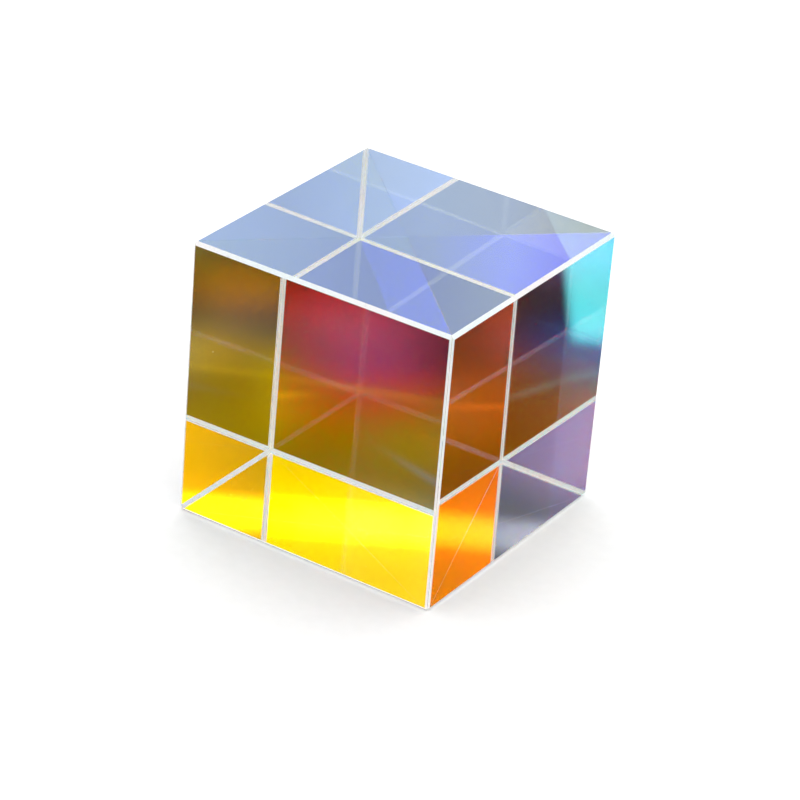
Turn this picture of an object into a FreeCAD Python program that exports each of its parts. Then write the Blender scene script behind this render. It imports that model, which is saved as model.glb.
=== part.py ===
# X-cube colour-combining prism: four right-angle prisms of crown glass whose
# right-angle edges meet on the cube's vertical axis.  The legs that face each
# other carry multilayer dichroic films and are joined with clear optical cement.
#
# Frame: millimetres, +Z up, origin at the centre of the bottom face.
#   front prism: its polished face is at -Y     right prism: +X
#   back prism : +Y                             left prism : -X
# The blue-reflecting films lie in the diagonal plane X = Y and the
# red-reflecting films in the diagonal plane X = -Y.

import FreeCAD, Part
import os
import Sketcher
from FreeCAD import Placement, Rotation, Vector

doc = FreeCAD.newDocument("x_cube_prism")

# ---------------------------------------------------------------- dimensions
sheet = doc.addObject("Spreadsheet::Sheet", "Params")
sheet.Label = "Params"
rows = [
    ("side", "25.0", "width and depth over two opposite polished faces"),
    ("height", "25.0", "height over the two end faces"),
    ("bevel", "0.30", "leg of the ground 45 degree protective bevel"),
    ("film", "0.005", "thickness of a multilayer dichroic film"),
    ("cement", "0.015", "thickness of the clear cement in a joint"),
]
for i, (alias, value, note) in enumerate(rows, start=1):
    sheet.set("A%d" % i, alias)
    sheet.set("B%d" % i, value)
    sheet.set("C%d" % i, note)
    sheet.setAlias("B%d" % i, alias)
doc.recompute()

GAP = "(Params.film + Params.cement)"
ROOT2 = "sqrt(2)"


def plane_of(body, role):
    """The body's own origin plane, found by its role."""
    for feature in body.Origin.OriginFeatures:
        if feature.Role == role:
            return feature
    raise RuntimeError("no origin plane " + role)


def new_body(name):
    body = doc.addObject("PartDesign::Body", name)
    body.Label = name
    return body


def new_sketch(body, name, role):
    sketch = body.newObject("Sketcher::SketchObject", name)
    sketch.AttachmentSupport = [(plane_of(body, role), "")]
    sketch.MapMode = "FlatFace"
    return sketch


def closed_outline(sketch, points, expressions):
    """A closed chain of lines.  Every corner is tied to the sketch origin by a
    horizontal and a vertical dimension bound to the sheet."""
    n = len(points)
    for i in range(n):
        a, b = points[i], points[(i + 1) % n]
        sketch.addGeometry(
            Part.LineSegment(Vector(a[0], a[1], 0), Vector(b[0], b[1], 0)), False
        )
    for i in range(n):
        sketch.addConstraint(Sketcher.Constraint("Coincident", i, 2, (i + 1) % n, 1))
    for i, (ex, ey) in enumerate(expressions):
        for kind, value, expression in (
            ("DistanceX", points[i][0], ex),
            ("DistanceY", points[i][1], ey),
        ):
            if expression is None:  # the corner lies on that axis
                axis = -2 if kind == "DistanceX" else -1
                sketch.addConstraint(
                    Sketcher.Constraint("PointOnObject", i, 1, axis)
                )
                continue
            index = sketch.addConstraint(
                Sketcher.Constraint(kind, -1, 1, i, 1, value)
            )
            label = "c%d%s" % (i, kind[-1])
            sketch.renameConstraint(index, label)
            sketch.setExpression("Constraints." + label, expression)


S = float(sheet.side)
H = float(sheet.height)
C = float(sheet.bevel)
G = float(sheet.film) + float(sheet.cement)
R2 = 2.0 ** 0.5


def make_prism(name, turn):
    """A right-angle prism, drawn with its polished face at +Y and its right-angle
    edge by the axis, then turned about Z to its place.  Its two acute edges are
    cut square to the legs by the cube's vertical bevels."""
    body = new_body(name)
    sketch = new_sketch(body, name + "_outline", "XY_Plane")
    apex = G / R2
    leg_x, leg_y = (S - C - G / R2) / 2, (S - C + G / R2) / 2
    points = [
        (0.0, apex),
        (leg_x, leg_y),
        (S / 2 - C, S / 2),
        (-(S / 2 - C), S / 2),
        (-leg_x, leg_y),
    ]
    ex_leg_x = "(Params.side - Params.bevel - %s / %s) / 2" % (GAP, ROOT2)
    ex_leg_y = "(Params.side - Params.bevel + %s / %s) / 2" % (GAP, ROOT2)
    expressions = [
        (None, "%s / %s" % (GAP, ROOT2)),
        (ex_leg_x, ex_leg_y),
        ("Params.side / 2 - Params.bevel", "Params.side / 2"),
        ("-(Params.side / 2 - Params.bevel)", "Params.side / 2"),
        ("-(%s)" % ex_leg_x, ex_leg_y),
    ]
    closed_outline(sketch, points, expressions)
    doc.recompute()

    pad = body.newObject("PartDesign::Pad", name + "_blank")
    pad.Profile = sketch
    pad.setExpression("Length", "Params.height")
    doc.recompute()

    # the ground bevels along the top and bottom of the polished face
    edges = []
    for i, edge in enumerate(pad.Shape.Edges, start=1):
        box = edge.BoundBox
        level = abs(box.ZMax - box.ZMin) < 1e-6
        on_face = abs(box.YMin - S / 2) < 1e-6 and abs(box.YMax - S / 2) < 1e-6
        if level and on_face:
            edges.append("Edge%d" % i)
    if len(edges) != 2:
        raise RuntimeError("%s: %d bevel edges found" % (name, len(edges)))
    bevel = body.newObject("PartDesign::Chamfer", name + "_bevel")
    bevel.Base = (pad, edges)
    bevel.setExpression("Size", "Params.bevel")
    body.Tip = bevel
    body.Placement = Placement(Vector(0, 0, 0), Rotation(Vector(0, 0, 1), turn))
    return body


def make_half_sheet(name, turn, start, start_expr, low, low_expr, thick_expr):
    """A thin sheet that stands from the axis out to a vertical bevel.  It is drawn
    in the plane of +Y and +Z, its thickness lies along +X from low, and it is then
    turned about Z.  Its outer corners follow the bevelled corners of the cube."""
    body = new_body(name)
    sketch = new_sketch(body, name + "_outline", "YZ_Plane")
    inner, outer = (S / 2 - C) * R2, (S / 2 - C / 2) * R2
    points = [
        (start, 0.0),
        (inner, 0.0),
        (outer, C / 2),
        (outer, H - C / 2),
        (inner, H),
        (start, H),
    ]
    ex_in = "(Params.side / 2 - Params.bevel) * " + ROOT2
    ex_out = "(Params.side / 2 - Params.bevel / 2) * " + ROOT2
    expressions = [
        (start_expr, None),
        (ex_in, None),
        (ex_out, "Params.bevel / 2"),
        (ex_out, "Params.height - Params.bevel / 2"),
        (ex_in, "Params.height"),
        (start_expr, "Params.height"),
    ]
    closed_outline(sketch, points, expressions)
    sketch.AttachmentOffset = Placement(Vector(0, 0, low), Rotation())
    sketch.setExpression("AttachmentOffset.Base.z", low_expr)
    doc.recompute()
    pad = body.newObject("PartDesign::Pad", name + "_sheet")
    pad.Profile = sketch
    pad.setExpression("Length", thick_expr)
    body.Tip = pad
    body.Placement = Placement(Vector(0, 0, 0), Rotation(Vector(0, 0, 1), turn))
    return body


def make_full_sheet(name, turn, low, low_expr, thick_expr):
    """The cement of the joint that runs right across the cube, corner to corner."""
    body = new_body(name)
    sketch = new_sketch(body, name + "_outline", "YZ_Plane")
    inner, outer = (S / 2 - C) * R2, (S / 2 - C / 2) * R2
    points = [
        (-inner, 0.0),
        (inner, 0.0),
        (outer, C / 2),
        (outer, H - C / 2),
        (inner, H),
        (-inner, H),
        (-outer, H - C / 2),
        (-outer, C / 2),
    ]
    ex_in = "(Params.side / 2 - Params.bevel) * " + ROOT2
    ex_out = "(Params.side / 2 - Params.bevel / 2) * " + ROOT2
    expressions = [
        ("-(%s)" % ex_in, None),
        (ex_in, None),
        (ex_out, "Params.bevel / 2"),
        (ex_out, "Params.height - Params.bevel / 2"),
        (ex_in, "Params.height"),
        ("-(%s)" % ex_in, "Params.height"),
        ("-(%s)" % ex_out, "Params.height - Params.bevel / 2"),
        ("-(%s)" % ex_out, "Params.bevel / 2"),
    ]
    closed_outline(sketch, points, expressions)
    sketch.AttachmentOffset = Placement(Vector(0, 0, low), Rotation())
    sketch.setExpression("AttachmentOffset.Base.z", low_expr)
    doc.recompute()
    pad = body.newObject("PartDesign::Pad", name + "_sheet")
    pad.Profile = sketch
    pad.setExpression("Length", thick_expr)
    body.Tip = pad
    body.Placement = Placement(Vector(0, 0, 0), Rotation(Vector(0, 0, 1), turn))
    return body


F = float(sheet.film)
T = float(sheet.cement)
film_side_low, film_side_low_ex = G / 2 - F, "%s / 2 - Params.film" % GAP
far_side_low, far_side_low_ex = -G / 2, "-(%s) / 2" % GAP
film_on_low, film_on_low_ex = -G / 2 + F, "-(%s) / 2 + Params.film" % GAP

bodies = [
    # four prisms
    make_prism("back_prism", 0),
    make_prism("left_prism", 90),
    make_prism("front_prism", 180),
    make_prism("right_prism", -90),
    # blue-reflecting films, on the legs of the front and right prisms
    make_half_sheet("blue_film_right", -45, 0.0, None,
                    film_side_low, film_side_low_ex, "Params.film"),
    make_half_sheet("blue_film_left", 135, 0.0, None,
                    far_side_low, far_side_low_ex, "Params.film"),
    # red-reflecting films, on the legs of the front and left prisms
    make_half_sheet("red_film_front", -135, G / 2, GAP + " / 2",
                    film_side_low, film_side_low_ex, "Params.film"),
    make_half_sheet("red_film_back", 45, G / 2, GAP + " / 2",
                    far_side_low, far_side_low_ex, "Params.film"),
    # cement: one joint in each pair of prisms, and one that joins the two pairs
    make_half_sheet("cement_front_pair", -135, G / 2, GAP + " / 2",
                    far_side_low, far_side_low_ex, "Params.cement"),
    make_half_sheet("cement_back_pair", 45, G / 2, GAP + " / 2",
                    film_on_low, film_on_low_ex, "Params.cement"),
    make_full_sheet("cement_between_pairs", -45,
                    far_side_low, far_side_low_ex, "Params.cement"),
]
doc.recompute()

# ------------------------------------------------------------------- checks
for obj in doc.Objects:
    if "Invalid" in obj.State or "Error" in obj.State:
        raise RuntimeError("%s failed: %s" % (obj.Name, obj.State))
for body in bodies:
    shape = body.Shape
    if shape.isNull() or not shape.isValid() or len(shape.Solids) != 1:
        raise RuntimeError(body.Label + " is not one valid solid")

os.makedirs("parts", exist_ok=True)
total = 0.0
for body in bodies:
    body.Shape.exportStep("parts/%s.step" % body.Label)
    total += body.Shape.Volume
    box = body.Shape.BoundBox
    print("%-22s volume %10.4f mm3   x %7.3f..%7.3f  y %7.3f..%7.3f  z %6.3f..%6.3f"
          % (body.Label, body.Shape.Volume, box.XMin, box.XMax, box.YMin, box.YMax,
             box.ZMin, box.ZMax))
print("total volume %.3f mm3, plain cube %.3f mm3" % (total, S * S * H))
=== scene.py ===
import math
import cmath
import bpy
import numpy as np
from mathutils import Vector, Matrix

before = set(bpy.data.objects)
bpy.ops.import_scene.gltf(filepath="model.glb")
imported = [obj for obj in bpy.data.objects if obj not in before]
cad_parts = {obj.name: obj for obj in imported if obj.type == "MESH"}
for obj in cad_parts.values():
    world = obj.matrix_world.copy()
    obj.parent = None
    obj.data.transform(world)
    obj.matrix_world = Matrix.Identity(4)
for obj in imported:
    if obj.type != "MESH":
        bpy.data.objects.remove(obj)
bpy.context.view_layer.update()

SIDE = 0.025
N_GLASS = 1.529
BEVEL = 0.0003


# ---------------------------------------------------------------- thin film
# Quarter-wave stack of titania and silica between crown glass and cement,
# averaged over both polarisations, as three colour bands.
def stack_reflectance(lam, cos_in_glass, design, pairs, n_high=2.35, n_low=1.46):
    s0 = N_GLASS * math.sqrt(max(0.0, 1.0 - cos_in_glass ** 2))

    def thick(n):
        sd = N_GLASS * math.sin(math.radians(45.0))
        return design / (4.0 * n * math.sqrt(1.0 - (sd / n) ** 2))

    layers = [(n_high, thick(n_high)), (n_low, thick(n_low))] * pairs + [(n_high, thick(n_high))]
    layers[0] = (n_high, thick(n_high) / 2)
    layers[-1] = (n_high, thick(n_high) / 2)
    total = 0.0
    for pol in (0, 1):
        def eta(n):
            c = cmath.sqrt(1.0 - (s0 / n) ** 2)
            return (n * c if pol == 0 else n / c), c
        e0 = eta(N_GLASS)[0]
        m = [1.0 + 0j, 0j, 0j, 1.0 + 0j]
        for n, d in layers:
            e, c = eta(n)
            ph = 2.0 * math.pi * n * d * c / lam
            a, b, g = cmath.cos(ph), 1j * cmath.sin(ph) / e, 1j * cmath.sin(ph) * e
            m = [m[0] * a + m[1] * g, m[0] * b + m[1] * a, m[2] * a + m[3] * g, m[2] * b + m[3] * a]
        bb, cc = m[0] + m[1] * e0, m[2] + m[3] * e0
        r = (e0 * bb - cc) / (e0 * bb + cc)
        total += abs(r) ** 2
    return total / 2.0


BANDS = ((620.0, 28.0), (545.0, 24.0), (455.0, 22.0))


def band_reflectance(design, pairs, facing):
    """facing is 1 - cos, as Layer Weight gives it."""
    c = max(0.03, 1.0 - facing)
    out = []
    for mid, width in BANDS:
        num = den = 0.0
        for k in range(-4, 5):
            lam = mid + k * width / 2.0
            w = math.exp(-0.5 * (k / 2.0) ** 2)
            num += w * stack_reflectance(lam, c, design, pairs)
            den += w
        # the ripple and leak of the ideal stack are smaller in a tuned one
        out.append(min(1.0, max(0.0, (num / den - 0.015) / 0.965)))
    return out


# the ramps have most stops where the coatings change fastest
FILM_STOPS = ([0.0, 0.08, 0.15, 0.20, 0.24, 0.28, 0.32, 0.36]
              + [0.385 + 0.0125 * i for i in range(9)]
              + [0.51, 0.55, 0.60, 0.65, 0.70, 0.75, 0.79, 0.82, 0.84, 0.86, 0.88, 0.90,
                 0.92, 0.95, 1.0])


# ---------------------------------------------------------------- node help
def new_mat(name):
    m = bpy.data.materials.new(name)
    m.use_nodes = True
    nt = m.node_tree
    nt.nodes.clear()
    out = nt.nodes.new("ShaderNodeOutputMaterial")
    return m, nt, out


def node(nt, kind, **k):
    n = nt.nodes.new(kind)
    for a, v in k.items():
        setattr(n, a, v)
    return n


def glass_material():
    """Polished crown glass with the last trace of dust and of a wiping cloth on it."""
    m, nt, out = new_mat("optical_glass_polished")
    tc = node(nt, "ShaderNodeTexCoord")
    g = node(nt, "ShaderNodeBsdfGlass")
    g.inputs["IOR"].default_value = N_GLASS
    g.inputs["Roughness"].default_value = 0.0
    g.inputs["Color"].default_value = (1, 1, 1, 1)
    # faint streaks of the cloth, all one way
    streak = node(nt, "ShaderNodeMapping")
    streak.inputs["Rotation"].default_value = (0.35, 0.6, 0.25)
    streak.inputs["Scale"].default_value = (90.0, 1400.0, 500.0)
    wipe = node(nt, "ShaderNodeTexNoise")
    wipe.inputs["Scale"].default_value = 1.0
    wipe.inputs["Detail"].default_value = 3.0
    haze = node(nt, "ShaderNodeMapRange")
    haze.inputs["From Min"].default_value = 0.45
    haze.inputs["From Max"].default_value = 0.8
    haze.inputs["To Min"].default_value = 0.0003
    haze.inputs["To Max"].default_value = 0.006
    # a few specks of dust, 0.02 to 0.05 mm
    specks = node(nt, "ShaderNodeTexVoronoi")
    specks.inputs["Scale"].default_value = 620.0
    pick = node(nt, "ShaderNodeSeparateColor")
    size = node(nt, "ShaderNodeMapRange")
    size.inputs["From Min"].default_value = 0.55
    size.inputs["From Max"].default_value = 1.0
    size.inputs["To Min"].default_value = 0.0
    size.inputs["To Max"].default_value = 0.035
    is_speck = node(nt, "ShaderNodeMath", operation='LESS_THAN')
    speck = node(nt, "ShaderNodeMath", operation='MULTIPLY')
    speck.inputs[1].default_value = 0.30
    dust = node(nt, "ShaderNodeMath", operation='ADD', use_clamp=True)
    nt.links.new(tc.outputs["Object"], streak.inputs["Vector"])
    nt.links.new(streak.outputs[0], wipe.inputs["Vector"])
    nt.links.new(wipe.outputs[0], haze.inputs["Value"])
    nt.links.new(tc.outputs["Object"], specks.inputs["Vector"])
    nt.links.new(specks.outputs["Color"], pick.inputs[0])
    nt.links.new(pick.outputs[0], size.inputs["Value"])
    nt.links.new(specks.outputs["Distance"], is_speck.inputs[0])
    nt.links.new(size.outputs[0], is_speck.inputs[1])
    nt.links.new(is_speck.outputs[0], speck.inputs[0])
    nt.links.new(haze.outputs[0], dust.inputs[0])
    nt.links.new(speck.outputs[0], dust.inputs[1])
    d = node(nt, "ShaderNodeBsdfDiffuse")
    d.inputs["Color"].default_value = (0.9, 0.9, 0.9, 1)
    mx = node(nt, "ShaderNodeMixShader")
    nt.links.new(dust.outputs[0], mx.inputs[0])
    nt.links.new(g.outputs[0], mx.inputs[1])
    nt.links.new(d.outputs[0], mx.inputs[2])
    nt.links.new(mx.outputs[0], out.inputs["Surface"])
    return m


def clear_material(name):
    m, nt, out = new_mat(name)
    t = node(nt, "ShaderNodeBsdfTransparent")
    nt.links.new(t.outputs[0], out.inputs["Surface"])
    return m


def ground_material():
    """Finely ground 45 degree bevels: milky, a little uneven, with small chips."""
    m, nt, out = new_mat("ground_bevel")
    tc = node(nt, "ShaderNodeTexCoord")
    hue = node(nt, "ShaderNodeTexNoise")
    hue.inputs["Scale"].default_value = 110.0
    hue.inputs["Detail"].default_value = 1.0
    tints = node(nt, "ShaderNodeValToRGB")
    cr = tints.color_ramp
    cr.elements[0].position, cr.elements[0].color = 0.36, (0.90, 0.97, 0.98, 1)
    cr.elements[1].position, cr.elements[1].color = 0.64, (0.98, 0.94, 0.95, 1)
    e = cr.elements.new(0.5)
    e.color = (0.97, 0.98, 0.98, 1)
    grit = node(nt, "ShaderNodeTexNoise")
    grit.inputs["Scale"].default_value = 5200.0
    grit.inputs["Detail"].default_value = 3.0
    shade = node(nt, "ShaderNodeMapRange")
    shade.inputs["From Min"].default_value = 0.3
    shade.inputs["From Max"].default_value = 0.7
    shade.inputs["To Min"].default_value = 0.93
    shade.inputs["To Max"].default_value = 1.0
    chips = node(nt, "ShaderNodeTexVoronoi")
    chips.inputs["Scale"].default_value = 700.0
    chip = node(nt, "ShaderNodeMapRange")
    chip.inputs["From Min"].default_value = 0.08
    chip.inputs["From Max"].default_value = 0.20
    chip.inputs["To Min"].default_value = 0.80
    chip.inputs["To Max"].default_value = 1.0
    for n in (hue, grit, chips):
        nt.links.new(tc.outputs["Object"], n.inputs["Vector"])
    nt.links.new(hue.outputs[0], tints.inputs[0])
    nt.links.new(grit.outputs[0], shade.inputs["Value"])
    nt.links.new(chips.outputs["Distance"], chip.inputs["Value"])
    both = node(nt, "ShaderNodeMath", operation='MULTIPLY')
    nt.links.new(shade.outputs[0], both.inputs[0])
    nt.links.new(chip.outputs[0], both.inputs[1])
    col = node(nt, "ShaderNodeVectorMath", operation='SCALE')
    nt.links.new(tints.outputs[0], col.inputs[0])
    nt.links.new(both.outputs[0], col.inputs["Scale"])
    bump = node(nt, "ShaderNodeBump")
    bump.inputs["Strength"].default_value = 0.35
    bump.inputs["Distance"].default_value = 0.00003
    nt.links.new(grit.outputs[0], bump.inputs["Height"])
    d = node(nt, "ShaderNodeBsdfDiffuse")
    t = node(nt, "ShaderNodeBsdfTranslucent")
    for n in (d, t):
        nt.links.new(col.outputs[0], n.inputs["Color"])
    nt.links.new(bump.outputs[0], d.inputs["Normal"])
    nt.links.new(bump.outputs[0], t.inputs["Normal"])
    mx = node(nt, "ShaderNodeMixShader")
    mx.inputs[0].default_value = 0.42
    nt.links.new(d.outputs[0], mx.inputs[1])
    nt.links.new(t.outputs[0], mx.inputs[2])
    nt.links.new(mx.outputs[0], out.inputs["Surface"])
    return m


def film_material(name, design, pairs):
    """Interference coating: what it reflects and what it passes, by the angle of the
    light, with the slight unevenness of a real deposited layer."""
    m, nt, out = new_mat(name)
    tc = node(nt, "ShaderNodeTexCoord")
    lw = node(nt, "ShaderNodeLayerWeight")
    lw.inputs["Blend"].default_value = 0.5
    cloud = node(nt, "ShaderNodeTexNoise")
    cloud.inputs["Scale"].default_value = 130.0
    cloud.inputs["Detail"].default_value = 2.0
    uneven = node(nt, "ShaderNodeMapRange")
    uneven.inputs["To Min"].default_value = -0.012
    uneven.inputs["To Max"].default_value = 0.012
    angle = node(nt, "ShaderNodeMath", operation='ADD')
    nt.links.new(tc.outputs["Object"], cloud.inputs["Vector"])
    nt.links.new(cloud.outputs[0], uneven.inputs["Value"])
    nt.links.new(lw.outputs["Facing"], angle.inputs[0])
    nt.links.new(uneven.outputs[0], angle.inputs[1])
    rr = node(nt, "ShaderNodeValToRGB")
    rt = node(nt, "ShaderNodeValToRGB")
    for ramp, inv in ((rr, False), (rt, True)):
        cr = ramp.color_ramp
        cr.interpolation = 'LINEAR'
        while len(cr.elements) > 1:
            cr.elements.remove(cr.elements[-1])
        for i, s in enumerate(FILM_STOPS):
            r = band_reflectance(design, pairs, s)
            col = [1 - v for v in r] if inv else r
            e = cr.elements[0] if i == 0 else cr.elements.new(s)
            e.position = s
            e.color = (*col, 1)
        nt.links.new(angle.outputs[0], ramp.inputs[0])
    gl = node(nt, "ShaderNodeBsdfGlossy")
    gl.inputs["Roughness"].default_value = 0.0
    tr = node(nt, "ShaderNodeBsdfTransparent")
    add = node(nt, "ShaderNodeAddShader")
    nt.links.new(rr.outputs[0], gl.inputs["Color"])
    nt.links.new(rt.outputs[0], tr.inputs["Color"])
    nt.links.new(gl.outputs[0], add.inputs[0])
    nt.links.new(tr.outputs[0], add.inputs[1])
    nt.links.new(add.outputs[0], out.inputs["Surface"])
    return m


MAT_GLASS = glass_material()
MAT_CLEAR = clear_material("cemented_leg_clear")
MAT_GROUND = ground_material()
MAT_CEMENT = clear_material("optical_cement_clear")
MAT_BLUE = film_material("blue_reflecting_film", 390.0, 12)
MAT_RED = film_material("red_reflecting_film", 730.0, 9)
MAT_SHEER = clear_material("film_other_side_clear")


def set_slots(obj, mats):
    me = obj.data
    while len(me.materials) > len(mats):
        me.materials.pop()
    for i, m in enumerate(mats):
        if i < len(me.materials):
            me.materials[i] = m
        else:
            me.materials.append(m)


for name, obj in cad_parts.items():
    me = obj.data
    if name.endswith("prism"):
        set_slots(obj, [MAT_GLASS, MAT_CLEAR, MAT_GROUND])
        for p in me.polygons:
            n = p.normal
            c = p.center
            if max(abs(n.x), abs(n.y), abs(n.z)) > 0.99:
                p.material_index = 0
            elif (abs(n.z) < 0.01 and abs(abs(n.x) - math.sqrt(0.5)) < 0.01
                  and max(abs(c.x), abs(c.y)) < SIDE / 2 - BEVEL * 0.9):
                p.material_index = 1
            else:
                p.material_index = 2
    elif "film" in name:
        set_slots(obj, [MAT_BLUE if name.startswith("blue") else MAT_RED, MAT_SHEER])
        # the large face that looks towards +Y carries the coating
        for p in me.polygons:
            p.material_index = 0 if (p.normal.y > 0.6 and p.area > 1e-6) else 1
        mod = obj.modifiers.new("coating_inside_its_film", 'DISPLACE')
        mod.strength = -1.5e-6
        mod.mid_level = 0.0
    else:
        set_slots(obj, [MAT_CEMENT])

# ---------------------------------------------------------------- stage
# Soft light without any colour of its own, apart from the painted light on the table
# and the light from below, which are cool daylight.  Every hue in the prism comes from its
# coatings.  The camera sees a plain pale paper floor.  The glass looks out at soft
# panels that stand round the table: bright behind on the left and on the right,
# dark in front.  What it sees of the table itself is a top left dark near the cube as
# painted shade, with a few soft pools of painted light, and straight below it the table
# is open.  Angles are in degrees, azimuth 0 along +X.

def chain(nt):
    """Small helper that writes arithmetic as Math nodes of one tree."""
    def op(kind, a, b=None, c=None):
        n = nt.nodes.new("ShaderNodeMath")
        n.operation = kind
        for i, v in enumerate((a, b, c)):
            if v is None:
                continue
            if isinstance(v, (int, float)):
                n.inputs[i].default_value = v
            else:
                nt.links.new(v, n.inputs[i])
        return n.outputs[0]
    return op


def smooth(nt, value, lo, hi, out_lo=0.0, out_hi=1.0):
    n = nt.nodes.new("ShaderNodeMapRange")
    n.interpolation_type = 'SMOOTHSTEP'
    n.inputs["From Min"].default_value = lo
    n.inputs["From Max"].default_value = hi
    n.inputs["To Min"].default_value = out_lo
    n.inputs["To Max"].default_value = out_hi
    nt.links.new(value, n.inputs["Value"])
    return n.outputs[0]


def ramp_by_azimuth(nt, turn, stops):
    """stops: (azimuth, grey or colour), -180 to 180, both ends alike."""
    n = nt.nodes.new("ShaderNodeValToRGB")
    cr = n.color_ramp
    cr.interpolation = 'LINEAR'
    while len(cr.elements) > 1:
        cr.elements.remove(cr.elements[-1])
    for i, (az, v) in enumerate(stops):
        pos = (az + 180.0) / 360.0
        e = cr.elements[0] if i == 0 else cr.elements.new(pos)
        e.position = pos
        e.color = (v, v, v, 1) if isinstance(v, (int, float)) else (*v, 1)
    nt.links.new(turn, n.inputs[0])
    return n.outputs[0]


def scaled(nt, colour, factor):
    n = nt.nodes.new("ShaderNodeVectorMath")
    n.operation = 'SCALE'
    if isinstance(colour, tuple):
        n.inputs[0].default_value = colour
    else:
        nt.links.new(colour, n.inputs[0])
    if isinstance(factor, (int, float)):
        n.inputs["Scale"].default_value = factor
    else:
        nt.links.new(factor, n.inputs["Scale"])
    return n.outputs[0]


def added(nt, a, b):
    n = nt.nodes.new("ShaderNodeVectorMath")
    n.operation = 'ADD'
    nt.links.new(a, n.inputs[0])
    nt.links.new(b, n.inputs[1])
    return n.outputs[0]


# --- the panels round the table
PANELS = [(-180, 0.0), (-155, 0.02), (-152, 0.08), (-150.5, 0.04), (-149, 0.02), (-144, 1.5),
          (-137, 1.2), (-128, 0.0), (-121, 0.05), (-118.6, 0.35), (-118, 0.5), (-117.6, 1.2),
          (-116, 0.6), (-100, 0.6), (-60, 0.0), (-20, 0.0), (0, 0.3), (20, 0.4), (30, 0.0),
          (41, 0.0), (50, 1.15), (54, 1.15), (59, 0.12), (61.5, 1.2), (90, 1.4), (116, 1.9),
          (122, 0.6), (127, 0.6), (141, 1.5), (149, 1.35), (155, 1.1), (180, 0.0)]
# the panels on the left and on the far right stand lower: 1 where they stop short
LOW = [(-180, 0.0), (-126, 0.0), (-121, 1.0), (-115, 1.0), (-110, 0.0), (20, 0.0),
       (25, 1.0), (31, 1.0), (35, 0.0), (57, 0.0), (60, 1.0), (67, 1.0), (72, 0.0), (180, 0.0)]
# soft daylight that comes up through the open table
DAYLIGHT = (0.50, 0.70, 1.05)
BELOW = [(-180, 0.2), (-156, 0.4), (-153, 1.8), (-151, 1.8), (-149, 0.6), (-144, 0.85),
         (-126, 0.52), (-121, 0.62), (-119, 0.5), (-118.4, 0.1), (-116, 0.1), (-90, 0.7),
         (-63, 1.2), (-59, 1.2), (-55, 0.4), (-35, 0.8), (-31, 0.65), (-27, 0.15), (27, 0.25),
         (31, 0.75), (35, 0.6), (54, 0.85), (59, 0.5), (117, 0.55), (121, 0.42), (126, 0.75),
         (144, 0.55), (149, 0.5), (155, 0.3), (180, 0.2)]

world = bpy.data.worlds.new("studio")
bpy.context.scene.world = world
world.use_nodes = True
wn = world.node_tree
bg = wn.nodes["Background"]
wop = chain(wn)
tc = wn.nodes.new("ShaderNodeTexCoord")
sep = wn.nodes.new("ShaderNodeSeparateXYZ")
wn.links.new(tc.outputs["Generated"], sep.inputs[0])
dx, dy, dz = sep.outputs
turn = wop('ADD', wop('DIVIDE', wop('ARCTAN2', dy, dx), 2 * math.pi), 0.5)
el = wop('MULTIPLY', wop('ARCSINE', dz), 180.0 / math.pi)
panels = ramp_by_azimuth(wn, turn, PANELS)
window = wop('MULTIPLY', smooth(wn, el, 6, 12), smooth(wn, el, 44, 56, 1, 0))
short = wop('MULTIPLY', ramp_by_azimuth(wn, turn, LOW), smooth(wn, el, 29.2, 30.0))
window = wop('MULTIPLY', window, wop('SUBTRACT', 1.0, wop('MULTIPLY', short, 0.6)))
# a thin bright tube runs across the panels at 30.4 degrees
off = wop('ABSOLUTE', wop('SUBTRACT', el, 30.40))
tube = wop('ADD', smooth(wn, off, 0.05, 0.42, 2.8, 0.0), smooth(wn, off, 0.10, 0.90, 0.3, 0.0))
window = wop('MULTIPLY', window, wop('ADD', tube, 1.0))
light = scaled(wn, panels, window)
# the overhead light is bright for what scatters it, and toned down where it is seen
# through the glass or mirrored in it
wlp = wn.nodes.new("ShaderNodeLightPath")
seen = wop('SUBTRACT', 2.4, wop('MULTIPLY', wlp.outputs["Is Glossy Ray"], 2.3))
overhead = wop('MULTIPLY', smooth(wn, el, 40, 54), seen)
fill_gap = wop('MULTIPLY', smooth(wn, el, 17, 22), smooth(wn, el, 36, 41, 1, 0))
fill = wop('MULTIPLY', wop('SUBTRACT', 1.0, fill_gap), 0.8)
light = added(wn, light, scaled(wn, (1.0, 1.0, 1.0), wop('ADD', overhead, fill)))
below = scaled(wn, DAYLIGHT, ramp_by_azimuth(wn, turn, BELOW))
up = smooth(wn, el, -0.5, 0.5)
mixw = wn.nodes.new("ShaderNodeMix")
mixw.data_type = 'RGBA'
wn.links.new(up, mixw.inputs[0])
wn.links.new(below, mixw.inputs[6])
wn.links.new(light, mixw.inputs[7])
backdrop = wn.nodes.new("ShaderNodeMix")
backdrop.data_type = 'RGBA'
backdrop.inputs[7].default_value = (0.93, 0.93, 0.93, 1)
wn.links.new(wlp.outputs["Is Camera Ray"], backdrop.inputs[0])
wn.links.new(mixw.outputs[2], backdrop.inputs[6])
wn.links.new(backdrop.outputs[2], bg.inputs[0])
bg.inputs[1].default_value = 1.0
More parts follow.
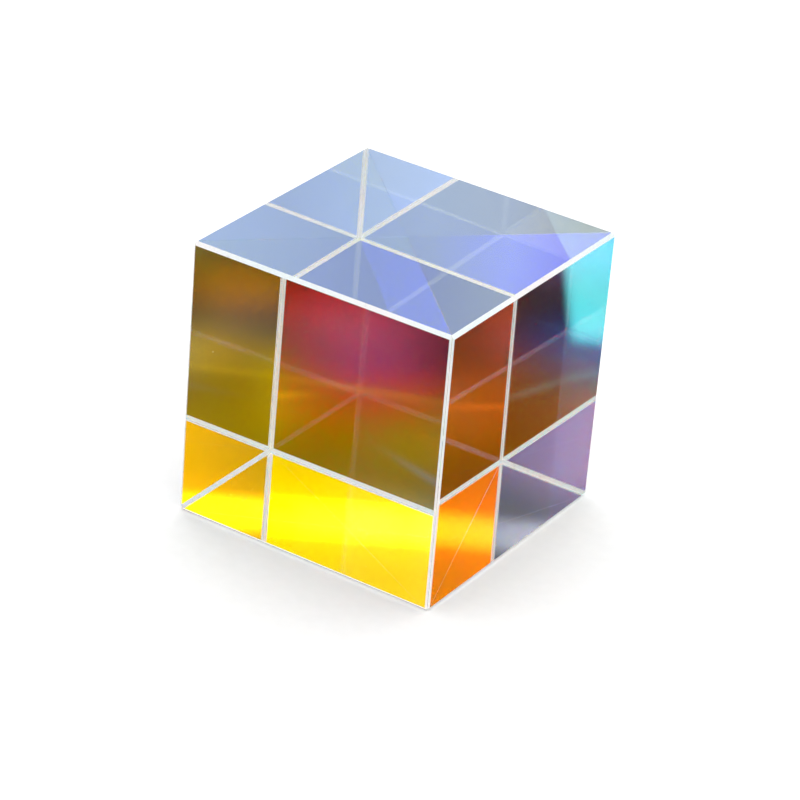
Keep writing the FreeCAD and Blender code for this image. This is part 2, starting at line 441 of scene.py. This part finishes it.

# --- painted pools of light on the table, glowing with no lamp: x, y, half-length,
# half-width (in cube sides), direction of the length, and strength
PAINTED_POOLS = [
    (-0.05, 1.99, 0.15, 0.15, 0, 0.6),
    (0.14, 0.94, 0.16, 0.16, 0, 0.7),
    (1.20, 1.48, 0.32, 0.32, 0, 1.5),
    (-0.12, 0.38, 0.27, 0.27, 0, 0.5),
    (0.75, -1.44, 0.20, 0.20, 0, 0.12),
    (1.24, 0.12, 0.18, 0.18, 0, 0.06),
    (-0.85, 1.51, 0.26, 0.26, 0, 1.55),
    (0.66, 0.47, 0.18, 0.18, 0, 0.7),
    (-0.59, 0.92, 0.24, 0.24, 0, 1.2),
    (-0.34, 1.17, 0.16, 0.16, 0, 0.9),
    (-0.26, -0.12, 0.20, 0.20, 0, 0.8),
    (1.22, -0.59, 0.13, 0.13, 0, 0.5),
    (-0.86, 0.13, 0.23, 0.23, 0, 0.40),
    (-1.12, 1.55, 0.16, 0.16, 0, 0.4),
    (-1.44, -0.30, 0.18, 0.18, 0, 1.8),
    # painted strokes of light where light leaving the prism would fall on the table
    (-0.05, 0.88, 0.20, 0.022, 155, 0.16),
    (-1.06, 0.53, 0.24, 0.022, 69, 0.16),
    (-0.775, 0.775, 0.12, 0.020, 45, 0.35),
    (-0.03, -0.69, 0.12, 0.016, 164, 0.12),
    (-0.28, -0.60, 0.08, 0.020, 155, 0.12),
]
# colour of the painted pools of light
PAINTED_POOL_TINT = (0.75, 0.85, 1.0)
fm, fnt, fout = new_mat("floor_paper_and_painted_pools")
fop = chain(fnt)
geo = fnt.nodes.new("ShaderNodeNewGeometry")
flp = fnt.nodes.new("ShaderNodeLightPath")
fs = fnt.nodes.new("ShaderNodeSeparateXYZ")
fnt.links.new(geo.outputs["Position"], fs.inputs[0])
px = fop('DIVIDE', fs.outputs[0], SIDE)
py = fop('DIVIDE', fs.outputs[1], SIDE)
total = None
# a straight slot in the table, front left, through which the light from below shows
SLOT = (-0.93, -0.95, 0.46, 0.125, 33, None)
for x, y, ru, rv, ang, strength in PAINTED_POOLS + [SLOT]:
    ca, sa = math.cos(math.radians(ang)), math.sin(math.radians(ang))
    ex, ey = fop('SUBTRACT', px, x), fop('SUBTRACT', py, y)
    u = fop('DIVIDE', fop('ADD', fop('MULTIPLY', ex, ca), fop('MULTIPLY', ey, sa)), ru)
    v = fop('DIVIDE', fop('SUBTRACT', fop('MULTIPLY', ey, ca), fop('MULTIPLY', ex, sa)), rv)
    uu, vv = fop('MULTIPLY', u, u), fop('MULTIPLY', v, v)
    if strength is None:
        uu, vv = fop('POWER', uu, 5.0), fop('POWER', vv, 5.0)
    q = fop('ADD', uu, vv)
    g = fop('EXPONENT', fop('MULTIPLY', q, -0.5))
    if strength is None:
        slot = g
        continue
    g = fop('MULTIPLY', g, strength)
    total = g if total is None else fop('ADD', total, g)
# painted shadow: within two cube sides the table stays dark; farther out it turns pale
away = fop('SQRT', fop('ADD', fop('MULTIPLY', px, px), fop('MULTIPLY', py, py)))
total = fop('ADD', total, smooth(fnt, away, 2.15, 3.4, 0.0, 0.55))
# painted light: the table itself glows in the pools, with no lamp behind it
painted_pool_glow = fnt.nodes.new("ShaderNodeEmission")
painted_pool_glow.inputs["Color"].default_value = (*PAINTED_POOL_TINT, 1)
opening = fnt.nodes.new("ShaderNodeBsdfTransparent")
inside = fop('LESS_THAN', fop('MAXIMUM', fop('ABSOLUTE', px), fop('ABSOLUTE', py)), 0.502)
inside = fop('MAXIMUM', inside, fop('MULTIPLY', slot, flp.outputs["Is Transmission Ray"]))
table = fnt.nodes.new("ShaderNodeMixShader")
fnt.links.new(inside, table.inputs[0])
fnt.links.new(painted_pool_glow.outputs[0], table.inputs[1])
fnt.links.new(opening.outputs[0], table.inputs[2])
paper = fnt.nodes.new("ShaderNodeBsdfDiffuse")
grain = fnt.nodes.new("ShaderNodeTexNoise")
grain.inputs["Scale"].default_value = 900.0
grain.inputs["Detail"].default_value = 4.0
tint = fnt.nodes.new("ShaderNodeMapRange")
tint.inputs["To Min"].default_value = 0.60
tint.inputs["To Max"].default_value = 0.64
fnt.links.new(geo.outputs["Position"], grain.inputs["Vector"])
fnt.links.new(grain.outputs[0], tint.inputs["Value"])
fnt.links.new(tint.outputs[0], paper.inputs["Color"])
# the ground bevels, which scatter light, see an evenly lit table
even = fnt.nodes.new("ShaderNodeEmission")
even.inputs["Color"].default_value = (1.0, 1.0, 1.0, 1)
even.inputs["Strength"].default_value = 2.1
lit = fnt.nodes.new("ShaderNodeMixShader")
fnt.links.new(flp.outputs["Is Diffuse Ray"], lit.inputs[0])
fnt.links.new(table.outputs[0], lit.inputs[1])
fnt.links.new(even.outputs[0], lit.inputs[2])
# the painted pools and painted shadow show only to light that has come through the
# glass; a reflection off its outside shows next to nothing of them
fnt.links.new(fop('MULTIPLY', flp.outputs["Is Transmission Ray"], total),
              painted_pool_glow.inputs["Strength"])
fmx = fnt.nodes.new("ShaderNodeMixShader")
fnt.links.new(flp.outputs["Is Camera Ray"], fmx.inputs[0])
fnt.links.new(lit.outputs[0], fmx.inputs[1])
fnt.links.new(paper.outputs[0], fmx.inputs[2])
fnt.links.new(fmx.outputs[0], fout.inputs["Surface"])
bpy.ops.mesh.primitive_plane_add(size=6.0, location=(0, 0, -0.00002))
floor = bpy.context.object
floor.name = "floor"
floor.data.materials.append(fm)

# ---------------------------------------------------------------- camera
cam_pos = Vector((5.40121 * SIDE, -8.85177 * SIDE, 5.99457 * SIDE))
centre = Vector((0, 0, SIDE / 2))
fwd = (centre - cam_pos).normalized()
right = fwd.cross(Vector((0, 0, 1))).normalized()
up = right.cross(fwd)
aim = centre + (0.0211190 * SIDE) * right + (-0.0921998 * SIDE) * up
fwd = (aim - cam_pos).normalized()
right = fwd.cross(Vector((0, 0, 1))).normalized()
up = right.cross(fwd)
roll = 0.0856076
r2 = right * math.cos(roll) + up * math.sin(roll)
u2 = -right * math.sin(roll) + up * math.cos(roll)
cd = bpy.data.cameras.new("camera")
cd.sensor_width = 36.0
cd.lens = 36.0 * 3529.224 / 800.0
cd.clip_start = 0.01
cam = bpy.data.objects.new("camera", cd)
bpy.context.scene.collection.objects.link(cam)
m = Matrix((( r2.x, u2.x, -fwd.x, cam_pos.x), (r2.y, u2.y, -fwd.y, cam_pos.y), (r2.z, u2.z, -fwd.z, cam_pos.z), (0, 0, 0, 1)))
cam.matrix_world = m
bpy.context.scene.camera = cam

sc = bpy.context.scene
sc.view_settings.view_transform = 'Standard'
sc.cycles.max_bounces = 40
sc.cycles.transmission_bounces = 40
sc.cycles.glossy_bounces = 40
sc.cycles.diffuse_bounces = 6
sc.cycles.transparent_max_bounces = 160
